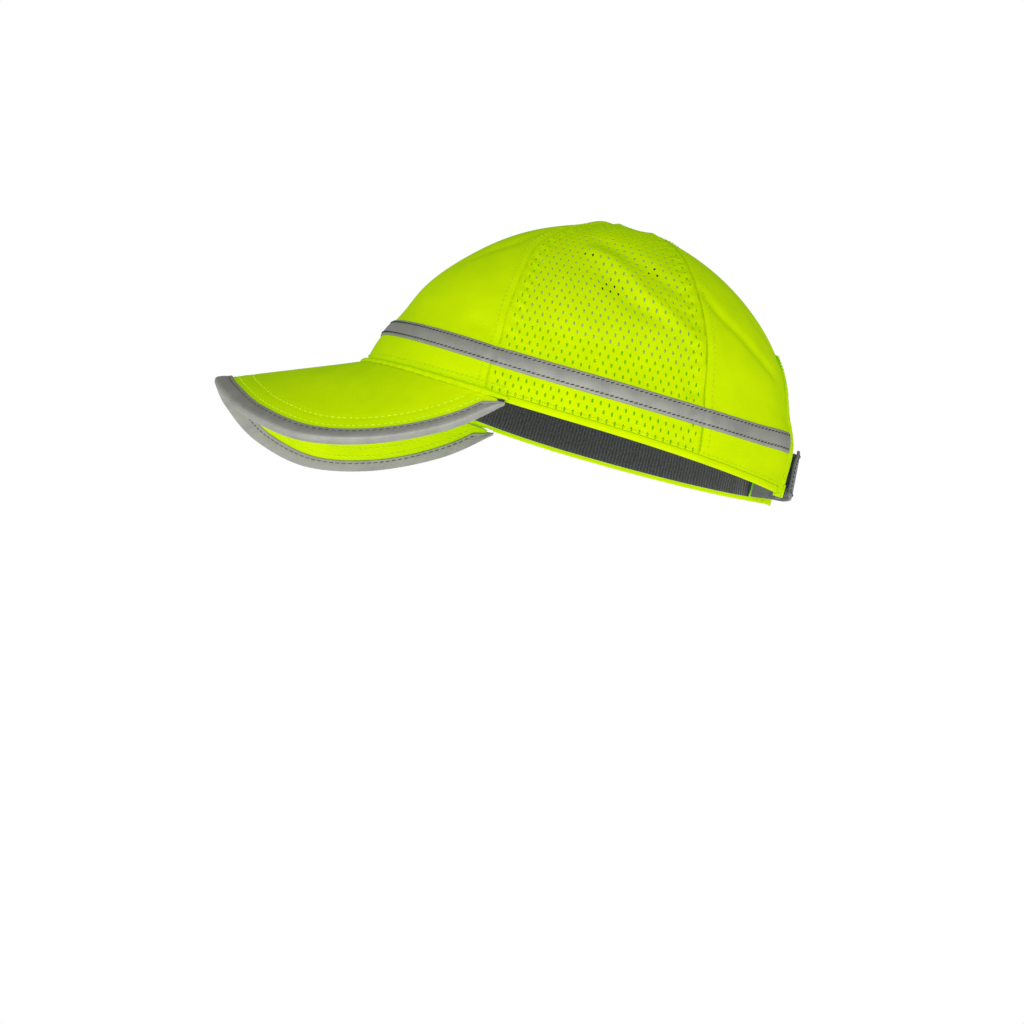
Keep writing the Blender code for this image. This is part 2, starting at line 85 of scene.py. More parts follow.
VISOR_EDGE = (
    (176.0, 0.0, -23.3),
    (170.0, 34.0, -29.6),
    (153.0, 63.0, -39.3),
    (126.0, 80.5, -43.8),
    (93.5, 85.2, -36.6),
    (60.7, 83.9, -20.5),
    (36.0, 82.0, -0.4),
)
VISOR_ROOT_LONGITUDE = 70.5
VISOR_SPAN = 0.955
VISOR_ROWS = (11.0, 17.5)  # sewn rows, in mm from the rim
VISOR_FACE = 1.55  # from the visor's middle to each cloth face
ROOT_FOLD_END = 70.0
RIM_SPAN = 0.985
RIM_ENDS = slice(14, -14)  # the stretch of the rim that is sewn
RIM_DITCH = 0.74  # where the rim's binding is sewn, as a share of its width

STRAP_HEIGHTS = (1.0, 24.0)
STRAP_LEAN = 0.09
STRAP_STRAIGHT, STRAP_TUCKED = 13.0, 19.0
STRAP_STEP, STRAP_STEP_START, STRAP_STEP_END = 4.2, 190.5, 197.2
STRAP_SCALE = 1.88  # mm for each degree round the hem at the straps
HOOK_START, HOOK_CORNER = 166.0, 7.0
STRAP_INSET = 2.0

# Folds of the worn cloth: height, width and (longitude, latitude) points along each
WRINKLES = (
    (1.5, 4.2, ((71.5, 52), (81, 50.5), (91, 45.5), (99.5, 39.5), (106.5, 36), (117, 30))),
    (-1.2, 4.6, ((70.5, 58.5), (83.5, 55.5), (94, 52.5), (103, 48), (115, 43.5))),
    (-1.2, 4.6, ((79.5, 45), (93, 36.5), (103.5, 33.5))),
    (-1.3, 3.0, ((122, 50), (123.5, 46), (128.5, 41.5), (136, 38), (143.5, 34), (153, 30))),
    (-0.9, 5.0, ((154, 47), (161.5, 43), (171.5, 37))),
    (-1.1, 5.0, ((48.5, 18), (54, 18), (62, 13.5))),
    (-0.9, 4.2, ((20.5, 38), (24.5, 43.5), (33, 48), (31, 62.5))),
    (0.9, 5.0, ((50.5, 28.5), (56, 23), (61, 18))),
    (-0.9, 4.0, ((115, 18), (118.5, 16))),
    (-0.5, 3.0, ((67, 2.5), (75, 3))),
    (4.2, 13.0, ((148, 13), (162, 15))),
)
TOP_PEAK = (2.4, 14.0, 11.0)  # height, distance ahead of the button, spread
PANEL_CLOTH, MESH_CLOTH, VISOR_CLOTH = 1.0, 0.6, 0.45  # thicknesses
FAR_SIDE_SHIFT = (5.0, -3.0)
FAR_SIDE_SHARE = 0.75

MOUNT = frame["record"]["mounts"][0]
MOUNT_PLACE = np.array(MOUNT["pos_m"])
MOUNT_UP = -np.array(MOUNT["axis"])
TIP_SIN, TIP_COS = float(MOUNT_UP[1]), float(MOUNT_UP[2])


def to_row(points):
    """Cap frame in mm to the row frame in metres."""
    p = np.asarray(points, float)
    x, y, z = p[..., 0], p[..., 1], p[..., 2]
    turned = np.stack((x, y * TIP_COS + z * TIP_SIN, z * TIP_COS - y * TIP_SIN), -1)
    return turned * MM + MOUNT_PLACE


def unit(v):
    return v / np.maximum(np.linalg.norm(v, axis=-1, keepdims=True), 1e-9)


def grid(rows, columns):
    return np.meshgrid(rows, columns, indexing="ij")


def full_turn(count):
    return np.linspace(0, 2 * math.pi, count, endpoint=False)


def running(steps):
    return np.concatenate(([0], np.cumsum(steps)))


def travel_along(line):
    """Distance along a line at each of its points."""
    return running(np.linalg.norm(np.diff(line, axis=0), axis=1))


def smooth_step(low, high, value):
    share = np.clip((value - low) / (high - low), 0.0, 1.0)
    return share * share * (3 - 2 * share)


def read_curve(points, at):
    places, values = np.array(points, float).T
    at = np.asarray(at, float)
    last = len(points) - 2
    i = np.clip(np.searchsorted(places, at, side="right") - 1, 0, last)
    width = places[i + 1] - places[i]
    t = np.clip((at - places[i]) / width, 0.0, 1.0)

    def slope(k):
        after, before = np.minimum(k + 1, last + 1), np.maximum(k - 1, 0)
        return (values[after] - values[before]) / (places[after] - places[before])

    return (
        (2 * t**3 - 3 * t**2 + 1) * values[i]
        + (t**3 - 2 * t**2 + t) * width * slope(i)
        + (3 * t**2 - 2 * t**3) * values[i + 1]
        + (t**3 - t**2) * width * slope(i + 1)
    )


def front_centre(lat):
    return 0 * lat


def rear_centre(lat):
    return 0 * lat + 180.0


def front_seam(lat):
    return read_curve(FRONT_SEAM, lat)


def rear_seam(lat):
    return read_curve(REAR_SEAM, lat)


def profile(z, reach, power):
    inner = np.maximum(1 - (np.maximum(z, 0.0) / CROWN_HEIGHT) ** power, 0.0)
    return reach * inner ** (1 / power)


def crown_surface(lon, lat):
    lon, lat = np.broadcast_arrays(lon, lat)
    turn = np.radians(lon)
    climb = np.sin(np.radians(lat))
    z = CROWN_HEIGHT * climb
    waist = WAIST_DEPTH * np.exp(-(((z - WAIST_HEIGHT) / WAIST_SPREAD) ** 2))
    ahead = np.cos(turn)
    front, rear = profile(z, FRONT_REACH, FRONT_POWER), profile(z, REAR_REACH, REAR_POWER)
    forward = (np.where(ahead > 0, front, rear) - waist) * ahead
    side = (profile(z, HALF_WIDTH, SIDE_POWER) - SIDE_WAIST_SHARE * waist) * np.sin(turn)
    dimple = DIMPLE_DEPTH * np.exp(-((np.hypot(forward, side) / DIMPLE_RADIUS) ** 2))
    lift = FRONT_LIFT * np.maximum(ahead, 0.0) ** 2 * (1 - climb) ** 2
    return np.stack((side, -forward, z - dimple + lift), -1)


def crown_normal(lon, lat, step=0.2):
    lon, lat = np.broadcast_arrays(lon, lat)
    low = np.maximum(lat - step, 0.0)
    across = crown_surface(lon + step, lat) - crown_surface(lon - step, lat)
    up = crown_surface(lon, lat + step) - crown_surface(lon, low)
    return unit(np.cross(across, up))


def crown(lon, lat, out=0.0):
    out = np.asarray(out, float)
    return crown_surface(lon, lat) + out[..., None] * crown_normal(lon, lat)


def latitude_at(height):
    return np.degrees(np.arcsin(height / CROWN_HEIGHT))


def mm_per_degree(lat):
    return np.maximum(crown_surface(90.0, lat)[..., 0], 1.0) * math.pi / 180


def wrinkle_samples():
    """Points along every fold, with the height and width each adds."""
    found = []
    for side in (1, -1):
        share = 1.0 if side == 1 else FAR_SIDE_SHARE
        shift = (0.0, 0.0) if side == 1 else FAR_SIDE_SHIFT
        for height, width, line in WRINKLES:
            lons = [p[0] + shift[0] for p in line]
            lats = [p[1] + shift[1] if p[1] > 10 else p[1] for p in line]
            at = np.linspace(0, len(line) - 1, 12 * (len(line) - 1))
            marks = range(len(line))
            places = crown_surface(side * np.interp(at, marks, lons), np.interp(at, marks, lats))
            spacing = np.linalg.norm(np.gradient(places, axis=0), axis=1)
            weight = share * height * spacing / (width * math.sqrt(math.pi))
            found.append(np.column_stack((places, weight, np.full(len(at), width))))
    return np.concatenate(found)


SAMPLES = wrinkle_samples()
BATCH = 4000  # points taken at a time, to bound the memory used


def relief(lon, lat):
    """How far the worn cloth stands off the plain crown: folds, seam valleys, gathers and slack."""
    lon, lat = np.broadcast_arrays(lon, lat)
    surface = crown_surface(lon, lat)
    places = surface.reshape(-1, 3)
    total = np.zeros(len(places))
    for start in range(0, len(places), BATCH):
        part = slice(start, start + BATCH)
        gap = ((places[part, None, :] - SAMPLES[None, :, :3]) ** 2).sum(-1)
        total[part] = (SAMPLES[:, 3] * np.exp(-gap / SAMPLES[:, 4] ** 2)).sum(1)
    total = total.reshape(lon.shape)
    around = np.abs((lon + 180.0) % 360.0 - 180.0)
    scale = mm_per_degree(lat)
    climb = lat * RISE_SCALE
    for seam, way in ((front_seam(lat), 1), (rear_seam(lat), -1)):
        off = (around - seam) * scale * way
        total -= 0.4 * np.exp(-((off / 1.5) ** 2))
        total += 0.14 * np.exp(-(((np.abs(off) - 2.8) / 1.5) ** 2))
        pucker = np.sin(2 * math.pi * (climb + 0.6 * off) / 6.7 + np.sin(climb / 9))
        total += 0.32 * pucker * np.exp(-(((off - 5.0) / 3.6) ** 2))
    for centre in (0.0, 180.0):
        total -= 0.25 * np.exp(-(((around - centre) * scale / 1.2) ** 2))
    x, y, z = np.moveaxis(surface, -1, 0)
    total += 0.34 * np.sin(x / 17 + 1.3) * np.sin(z / 21 + y / 29) + 0.18 * np.sin(y / 12 + z / 15)
    radius, turn = np.hypot(x, y), np.arctan2(x, -y)
    gathers = 0.5 + 0.5 * np.cos(6 * turn)
    total += 0.8 * gathers * np.exp(-(((radius - 17.0) / 8.0) ** 2))
    height, ahead, spread = TOP_PEAK
    total += height * np.exp(-(((-y - ahead) ** 2 + x**2) / spread**2))
    total -= 0.25 * np.cos(23 * turn) * np.exp(-(((radius - 10.0) / 3.0) ** 2))
    return total * smooth_step(0.5, 8.0, lat)


def skin(lon, lat, out=0.0):
    """Point on the worn cloth's outer face, `out` mm proud of it."""
    return crown(lon, lat, out + relief(lon, lat))


# ---- meshes


def place_object(name, data):
    thing = bpy.data.objects.new(name, data)
    bpy.context.scene.collection.objects.link(thing)
    return thing


def store_cloth(mesh, places):
    """Keeps each point's place on the flat cloth, in mm, which the weaves follow."""
    layer = mesh.attributes.get("cloth") or mesh.attributes.new("cloth", "FLOAT_VECTOR", "POINT")
    layer.data.foreach_set("vector", places.astype(np.float32).ravel())


def mesh_piece(name, points, faces, material, body, cloth=None, inside=None):
    """A piece from points in mm, on its body. `inside` is a point behind an open sheet."""
    mesh = bpy.data.meshes.new(name)
    mesh.from_pydata(to_row(points).tolist(), [], faces)
    cloth = np.asarray(points if cloth is None else cloth, float)
    flat = np.zeros((len(points), 3))
    flat[:, : cloth.shape[1]] = cloth
    store_cloth(mesh, flat)
    builder = bmesh.new()
    builder.from_mesh(mesh)
    bmesh.ops.remove_doubles(builder, verts=builder.verts, dist=0.02 * MM)
    bmesh.ops.dissolve_degenerate(builder, edges=builder.edges, dist=0.01 * MM)
    if inside is None:
        bmesh.ops.recalc_face_normals(builder, faces=builder.faces)
    else:
        heart = Vector(to_row(inside))
        facing = sum(f.normal.dot(f.calc_center_median() - heart) * f.calc_area() for f in builder.faces)
        if facing < 0:
            bmesh.ops.reverse_faces(builder, faces=builder.faces)
    builder.to_mesh(mesh)
    builder.free()
    mesh.shade_smooth()
    mesh.materials.append(material)
    piece = place_object(name, mesh)
    if body:
        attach(piece, body)
    return piece


def rounded_box(count, up_power, out_power):
    """Points round a box section with soft corners, as shares of its half height and half depth."""
    turn = full_turn(count)
    up = np.sign(np.sin(turn)) * np.abs(np.sin(turn)) ** up_power
    return up, np.sign(np.cos(turn)) * np.abs(np.cos(turn)) ** out_power


def thicken(piece, thickness):
    solid = piece.modifiers.new("thickness", "SOLIDIFY")
    solid.thickness = thickness * MM
    solid.offset = -1.0
    solid.use_even_offset = False
    return piece


def grid_faces(rows, columns, wrap_rows=False, wrap_columns=False):
    faces = []
    for i in range(rows if wrap_rows else rows - 1):
        for j in range(columns if wrap_columns else columns - 1):
            a, b = i * columns, ((i + 1) % rows) * columns
            k = (j + 1) % columns
            faces.append((a + j, a + k, b + k, b + j))
    return faces


def sheet_piece(name, places, material, thickness, cloth=None, inside=(0, 0, 20), body="cap"):
    """Cloth from a grid of points, with thickness added inwards."""
    rows, columns = places.shape[:2]
    if cloth is None:
        along = np.linalg.norm(np.diff(places, axis=0), axis=-1).mean(1)
        across = np.linalg.norm(np.diff(places, axis=1), axis=-1).mean(0)
        cloth = np.stack(grid(running(along), running(across)), -1)
    faces, cloth = grid_faces(rows, columns), cloth.reshape(-1, cloth.shape[-1])
    piece = mesh_piece(name, places.reshape(-1, 3), faces, material, body, cloth, inside)
    return thicken(piece, thickness)


def swept_piece(name, sections, material, body="cap", ring=False):
    """Closed body from a row of closed sections. `ring` joins the last section to the first."""
    count, size = sections.shape[:2]
    faces = grid_faces(count, size, ring, True)
    if not ring:
        faces += [tuple(range(size)), tuple(range((count - 1) * size, count * size))[::-1]]
    along = travel_along(sections.mean(1))
    around = np.linalg.norm(np.diff(sections, axis=1), axis=-1).mean(0)
    cloth = np.stack(grid(along, running(around)), -1)
    return mesh_piece(name, sections.reshape(-1, 3), faces, material, body, cloth.reshape(-1, 2))


def stitches(name, lines, material, pitch=2.6, dash=2.0, radius=0.24, slant=0.0, body="cap"):
    """Sewn rows. A line is (points, normals); each thread dips into the cloth at its two ends."""
    points, faces = [], []
    sides = full_turn(6)
    marks = np.array((-1.0, -0.8, -0.35, 0.35, 0.8, 1.0))
    swell = np.array((0.35, 0.85, 1.0, 1.0, 0.85, 0.35)) * radius
    rise = radius * np.array((-0.9, 0.1, 0.55, 0.55, 0.1, -0.9))
    for line, normals in lines:
        at = travel_along(line)
        starts = np.arange(pitch / 2, at[-1] - pitch / 2, pitch)
        if not len(starts):
            continue
        s = starts[:, None] + marks[None, :] * dash / 2
        place = np.stack([np.interp(s, at, line[:, k]) for k in range(3)], -1)
        up = unit(np.stack([np.interp(s, at, normals[:, k]) for k in range(3)], -1))
        run = unit(np.gradient(place, axis=1))
        side = unit(np.cross(up, run))
        place = place + rise[None, :, None] * up + slant * marks[None, :, None] * side
        ring = np.cos(sides)[None, None, :, None] * side[:, :, None, :]
        ring = ring + np.sin(sides)[None, None, :, None] * up[:, :, None, :]
        body_points = place[:, :, None, :] + swell[None, :, None, None] * ring
        base = sum(len(p) for p in points)
        points.append(body_points.reshape(-1, 3))
        size = len(marks) * len(sides)
        for k in range(len(starts)):
            first = base + k * size
            faces += [tuple(first + i for i in f) for f in grid_faces(len(marks), 6, False, True)]
            faces.append(tuple(first + i for i in range(6)))
            faces.append(tuple(first + size - 1 - i for i in range(6)))
    return mesh_piece(name, np.concatenate(points), faces, material, body)


# ---- materials


WAVE_SCALE = 0.314  # the wave texture's scale for ridges 1 mm apart


def put(node, values):
    for key, value in values.items():
        node.inputs[key].default_value = value


class Maker:
    """A node material with a Principled shader."""

    def __init__(self, name, roughness, metallic=0.0, sheen=0.0, glow=None, coat=0.0):
        self.material = bpy.data.materials.new(name)
        self.material.use_nodes = True
        self.tree = self.material.node_tree
        self.shader = self.tree.nodes["Principled BSDF"]
        specular = 0.25 if metallic == 0 else 0.5
        put(self.shader, {"Roughness": roughness, "Metallic": metallic, "Specular IOR Level": specular})
        put(self.shader, {"Sheen Weight": sheen, "Sheen Roughness": 0.5, "Coat Weight": coat})
        if glow:
            put(self.shader, {"Emission Color": (*glow, 1.0), "Emission Strength": 1.0})
        self.cloth = self.node("Attribute", attribute_name="cloth").outputs["Vector"]

    def node(self, kind, **settings):
        made = self.tree.nodes.new("ShaderNode" + kind)
        for key, value in settings.items():
            setattr(made, key, value)
        return made

    def link(self, a, b):
        self.tree.links.new(a, b)

    def wave(self, period, turn=0.0, distort=0.0):
        """Ridges `period` mm apart; turn is their angle across the cloth in degrees."""
        place = self.node("Mapping")
        put(place, {"Rotation": (0.0, 0.0, math.radians(turn))})
        wave = self.node("TexWave", wave_type="BANDS", bands_direction="X")
        put(wave, {"Scale": WAVE_SCALE / period, "Distortion": distort, "Detail": 1.0})
        self.link(self.cloth, place.inputs["Vector"])
        self.link(place.outputs["Vector"], wave.inputs["Vector"])
        return wave.outputs["Fac"]

    def noise(self, size, detail=3.0):
        noise = self.node("TexNoise")
        put(noise, {"Scale": 1.0 / size, "Detail": detail})
        self.link(self.cloth, noise.inputs["Vector"])
        return noise.outputs["Fac"]

    def math(self, operation, a, b):
        made = self.node("Math", operation=operation)
        for k, value in enumerate((a, b)):
            if isinstance(value, (int, float)):
                made.inputs[k].default_value = value
            else:
                self.link(value, made.inputs[k])
        return made.outputs[0]

    def add(self, a, b):
        return self.math("ADD", a, b)

    def times(self, a, b):
        return self.math("MULTIPLY", a, b)

    def color(self, fac, low, high, start=0.3, end=0.7):
        ramp = self.node("ValToRGB")
        for stop, place, color in zip(ramp.color_ramp.elements, (start, end), (low, high)):
            stop.position, stop.color = place, (*color, 1.0)
        self.link(fac, ramp.inputs["Fac"])
        self.link(ramp.outputs["Color"], self.shader.inputs["Base Color"])

    def bump(self, height, strength, depth):
        bump = self.node("Bump")
        put(bump, {"Strength": strength, "Distance": depth * MM})
        self.link(height, bump.inputs["Height"])
        self.link(bump.outputs["Normal"], self.shader.inputs["Normal"])


# Painted glow: a constant green emission on the lime cloth, the same in light and in shade
LIME_PAINTED_GLOW = (0.03, 0.19, 0.0)


def lime(name, kind):
    """Fluorescent lime cloth. Its glow is painted light: a constant green emission that stands for the
    daylight the dye turns to lime, and keeps the shaded parts greener.
    """
    made = Maker(name, 0.9, glow=LIME_PAINTED_GLOW)
    put(made.shader, {"Specular IOR Level": 0.03})
    if kind == "twill":
        first, second = made.wave(0.85, 52), made.times(made.noise(0.5, 1.0), 0.5)
        strength, depth = 0.35, 0.10
    elif kind == "mesh":
        first, second = made.wave(0.8, 90), made.times(made.wave(0.9, 0), 0.5)
        strength, depth = 0.4, 0.12
    else:
        first, second = made.wave(0.6, 45), made.noise(0.7, 2.0)
        strength, depth = 0.4, 0.10
    weave = made.add(first, second)
    made.bump(weave, strength, depth)
    patches = made.times(made.noise(16.0), 0.75)
    mixed = made.add(patches, made.times(weave, 0.16))
    made.color(mixed, (0.52, 0.60, 0.0), (0.62, 0.69, 0.0), 0.3, 0.75)
    return made.material


def silver_tape():
    made = Maker("retroreflective_silver", 0.55, metallic=0.4)
    beads = made.noise(0.45, 2.0)
    grain = made.add(beads, made.times(made.noise(9.0), 0.8))
    made.color(grain, (0.255, 0.26, 0.241), (0.37, 0.375, 0.33), 0.6, 1.0)
    made.bump(made.add(beads, made.wave(0.7, 45)), 0.3, 0.06)
    return made.material


def thread(name, low, high, glow=None):
    made = Maker(name, 0.85, glow=glow)
    put(made.shader, {"Specular IOR Level": 0.05})
    made.color(made.noise(2.0), low, high)
    made.bump(made.noise(0.35, 1.0), 0.5, 0.08)
    return made.material


def webbing():
    made = Maker("grey_webbing", 0.8, sheen=0.25)
    ribs = made.add(made.wave(1.3, 90), made.times(made.wave(0.8, 0), 0.6))
    worn = made.add(ribs, made.noise(8.0))
    made.color(worn, (0.105, 0.112, 0.112), (0.15, 0.157, 0.155), 0.6, 1.9)
    made.bump(ribs, 0.3, 0.12)
    return made.material


def grained(made, grain, low, high, strength, depth):
    made.color(grain, low, high, 0.35, 0.65)
    made.bump(grain, strength, depth)
    return made.material


def pile(name, size):
    made = Maker(name, 0.95, sheen=0.6)
    return grained(made, made.noise(size, 4.0), (0.03, 0.034, 0.036), (0.13, 0.14, 0.145), 1.0, 0.7)


def terry():
    made = Maker("sweatband_terry_cloth", 0.95, sheen=0.5)
    loops = made.add(made.noise(1.1), made.times(made.wave(1.6, 0, 2.0), 0.4))
    made.color(loops, (0.03, 0.031, 0.034), (0.085, 0.086, 0.09), 0.45, 0.95)
    made.bump(loops, 0.9, 0.5)
    return made.material


def foam():
    made = Maker("closed_cell_foam", 0.92)
    return grained(made, made.noise(0.9), (0.018, 0.018, 0.02), (0.05, 0.05, 0.054), 0.7, 0.3)


def plastic(name, low, high, roughness, grain, glow=None):
    """Moulded plastic for the carried-over CAD nodes, laid out in object space."""
    made = Maker(name, roughness, coat=0.1, glow=glow)
    place = made.node("TexCoord").outputs["Object"]
    scaled = made.node("VectorMath", operation="SCALE")
    put(scaled, {"Scale": 1 / MM})
    made.link(place, scaled.inputs[0])
    made.cloth = scaled.outputs[0]
    made.color(made.noise(14.0), low, high)
    made.bump(made.noise(grain, 2.0), 0.25, 0.08)
    return made.material


TWILL = lime("lime_twill_cloth", "twill")
MESH = lime("lime_mesh_cloth", "mesh")
FOLD = lime("lime_bias_cloth", "bias")
SILVER = silver_tape()
# The last colour given to the lime, visor and seam threads is painted glow: a constant green emission,
# as on the lime cloth
LIME_THREAD = thread("lime_thread", (0.50, 0.58, 0.0), (0.60, 0.68, 0.02), (0.02, 0.12, 0.0))
VISOR_THREAD = thread("visor_thread", (0.57, 0.66, 0.01), (0.66, 0.74, 0.04), (0.04, 0.19, 0.0))
DARK_THREAD = thread("tape_thread", (0.03, 0.034, 0.036), (0.07, 0.075, 0.075))
RIM_THREAD = thread("rim_thread", (0.09, 0.095, 0.09), (0.14, 0.145, 0.14))
OLIVE_THREAD = thread("seam_thread", (0.47, 0.49, 0.0), (0.55, 0.57, 0.0), (0.03, 0.11, 0.0))
GREY_THREAD = thread("strap_thread", (0.02, 0.023, 0.025), (0.05, 0.055, 0.058))
WEBBING, TERRY, FOAM = webbing(), terry(), foam()

# ---- crown


def panel_grid(start, end, columns, rows, sign):
    """Longitudes and latitudes over a panel between the seams `start` and `end`."""
    rise, share = grid(np.linspace(0, PANEL_TOP, rows), np.linspace(0, 1, columns))
    gap = SEAM_GAP / mm_per_degree(rise)
    low, high = start(rise) + gap, end(rise) - gap
    return sign * (low + share * (high - low)), rise


def front_panels():
    for side, sign in SIDES:
        lon, lat = panel_grid(front_centre, front_seam, 74, 100, sign)
        piece = sheet_piece(f"twill_front_{side}", skin(lon, lat), TWILL, PANEL_CLOTH)
        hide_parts(f"front_panel_{side}")


def arch_point(angle):
    turn = np.radians(angle)
    aside = np.maximum(np.cos(turn), 0.0) ** (2 / ARCH_POWER)
    climb = np.maximum(np.sin(turn), 0.0) ** (2 / ARCH_POWER)
    return ARCH_HALF_ANGLE * aside, ARCH_LATITUDE * climb


def rear_panels():
    foot = 180.0 - ARCH_HALF_ANGLE
    hem = np.linspace(rear_seam(0), foot, 46, endpoint=False)
    aside, climb = arch_point(np.linspace(0, 90, 44))
    bottom_lon = np.concatenate((hem, 180.0 - aside))
    bottom = np.concatenate((0 * hem, climb))
    rise = np.linspace(0, 1, 96)[:, None]
    lat = bottom + rise * (PANEL_TOP - bottom)
    gap = SEAM_GAP / mm_per_degree(lat)
    share = (bottom_lon - rear_seam(bottom)) / (180.0 - rear_seam(bottom))
    low, high = rear_seam(lat) + gap, 180.0 - gap
    lon = low + share * (high - low)
    for side, sign in SIDES:
        places = skin(sign * lon, lat)
        cloth = np.stack((lon * 1.6, lat * RISE_SCALE), -1)
        piece = sheet_piece(f"twill_rear_{side}", places, TWILL, PANEL_CLOTH, cloth)
        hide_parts(f"rear_panel_{side}")


HOLE_PITCH, ROW_PITCH = 4.1, 3.8
HOLE_HALF_WIDTH, HOLE_HALF_HEIGHT = 0.52, 1.12
HOLE_BORDER = (1.8, 1.35)  # the knitted border, as shares of the slot


def side_meshes():
    """Knitted side panels with their staggered slots cut through."""
    lats = np.linspace(0, PANEL_TOP, 500)
    arc = travel_along(crown_surface(90.0, lats))
    scale = np.linalg.norm(crown_surface(90.5, lats) - crown_surface(89.5, lats), axis=1)
    around = ((-1, -1), (0, -1), (1, -1), (1, 0), (1, 1), (0, 1), (-1, 1), (-1, 0))
    turns = [math.atan2(b, a) for a, b in around]
    pairs = [(k, (k + 1) % 8) for k in range(8)]
    for side, sign in SIDES:
        uv, faces, keys = [], [], {}

        def corner(key):
            if key not in keys:
                keys[key] = len(uv)
                uv.append((key[0] * HOLE_PITCH / 2, key[1] * ROW_PITCH / 2))
            return keys[key]

        def limits(v):
            """Half width in mm, latitude and middle longitude at `v` mm up the panel."""
            lat = float(np.interp(v, arc, lats))
            front, rear = float(front_seam(lat)), float(rear_seam(lat))
            return (rear - front) / 2 * float(np.interp(lat, lats, scale)), lat, (front + rear) / 2

        rows = int(arc[-1] / ROW_PITCH) + 1
        for j in range(rows + 1):
            v = j * ROW_PITCH
            half, lat, middle = limits(min(v, arc[-1]))
            reach = int(half / HOLE_PITCH) + 3
            height = CROWN_HEIGHT * math.sin(math.radians(lat))
            for i in range(-reach, reach + 1):
                a0, b0 = 2 * i + j % 2, 2 * j
                u = a0 * HOLE_PITCH / 2
                if abs(u) - HOLE_PITCH / 2 > half + HOLE_PITCH:
                    continue
                ring = [corner((a0 + a, b0 + b)) for a, b in around]
                tape = float(read_curve(TAPE_HEIGHTS, middle + u / 1.5))
                taped = tape - TAPE_MARGIN < height < tape + TAPE_WIDTH + TAPE_MARGIN
                clear = abs(u) + HOLE_PITCH / 2 + 1.2 < half and 3.0 < v < arc[-1] - 6
                if not clear or taped:
                    faces += [(ring[a], ring[b], len(uv)) for a, b in pairs]
                    uv.append((u, v))
                    continue
                rims = []
                for grow_x, grow_y in (HOLE_BORDER, (1.0, 1.0)):
                    rims.append([len(uv) + k for k in range(8)])
                    for t in turns:
                        x = HOLE_HALF_WIDTH * grow_x * math.cos(t)
                        y = HOLE_HALF_HEIGHT * grow_y * math.sin(t)
                        uv.append((u + x, v + y))
                for outer, inner in ((ring, rims[0]), rims):
                    faces += [(outer[a], outer[b], inner[b], inner[a]) for a, b in pairs]
        uv = np.array(uv)
        lat = np.interp(np.clip(uv[:, 1], 0, arc[-1]), arc, lats)
        middle = (front_seam(lat) + rear_seam(lat)) / 2
        gap = SEAM_GAP / mm_per_degree(lat)
        lon = middle + uv[:, 0] / np.interp(lat, lats, scale)
        lon = np.clip(lon, front_seam(lat) + gap, rear_seam(lat) - gap)
        places, heart = skin(sign * lon, lat), (0, 0, 20)
        piece = mesh_piece(f"mesh_side_{side}", places, faces, MESH, "cap", uv, heart)
        thicken(piece, MESH_CLOTH)
        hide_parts(f"side_mesh_{side}")


def reflective_tape():
    lon = np.linspace(-TAPE_END, TAPE_END, 340)
    share = np.array((0.0, 0.03, 0.1, 0.17, 0.25, 0.5, 0.75, 0.83, 0.9, 0.97, 1.0))
    out = np.array((0.05, 0.5, 0.66, 0.5, 0.68, 0.74, 0.68, 0.5, 0.66, 0.5, 0.05))
    height = read_curve(TAPE_HEIGHTS, np.abs(lon))[:, None] + share * TAPE_WIDTH
    lat = latitude_at(height)
    lons = np.broadcast_to(lon[:, None], lat.shape)
    ripple = 0.07 * np.sin(lons * 2.3) * np.sin(lons * 0.71 + 1.0)
    places = skin(lons, lat, out + 0.15 + ripple)
    piece = sheet_piece("silver_tape_band", places, SILVER, 0.35)
    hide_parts("reflective_tape")
    rows = []
    for at in TAPE_ROWS:
        lat = latitude_at(read_curve(TAPE_HEIGHTS, np.abs(lon)) + at * TAPE_WIDTH)
        rows.append((skin(lon, lat, 0.72), crown_normal(lon, lat)))
    stitches("tape_stitches", rows, DARK_THREAD, 2.4, 1.9, 0.27, 0.28)


def edge_fold(name, base, off, outward, material, leaf_in, leaf_out, node, top):
    """Cloth rolled round an edge: a closed U section swept along it."""
    outer = [(-leaf_out, 0.15), (-leaf_out * 0.85, top), (-leaf_out * 0.4, top + 0.15), (0.0, top)]
    bend = [(0.75, 0.0), (1.0, -0.9), (0.75, -1.9)]
    inner = [(0.0, -2.5), (-leaf_in * 0.5, -2.6), (-leaf_in, -2.5), (-leaf_in, -2.1)]
    back = [(-0.3, -2.0), (0.0, -1.0), (-0.3, 0.1)]
    section = np.array(outer + bend + inner + back)
    step = np.arange(len(base))
    wobble = 0.10 * np.sin(step * 1.9) + 0.07 * np.sin(step * 0.83)
    ends = 0.35 + 0.65 * smooth_step(0, 9, np.minimum(step, step[::-1]))
    grow = (1 + wobble[:, None] * (section[:, 1] > 0.1)) * ends[:, None]
    sections = (
        base[:, None, :]
        + section[None, :, :1] * off[:, None, :]
        + (section[:, 1] * grow)[..., None] * outward[:, None, :]
    )
    piece = swept_piece(name, sections, material)
    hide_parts(node)


def hems():
    lines = []
    for side, sign in SIDES:
        lon = sign * np.linspace(HEM_START, HEM_END, 110)
        base, outward = crown(lon, 0.0, 0.0), crown_normal(lon, 0.0)
        off = np.broadcast_to(-UP, base.shape)
        edge_fold(f"hem_roll_{side}", base, off, outward, MESH, 5.0, 2.4, f"hem_binding_{side}", 0.35)
        lines.append((skin(lon, latitude_at(3.6), 0.12), outward))
    stitches("hem_stitches", lines, LIME_THREAD, 2.8, 2.0, 0.2)


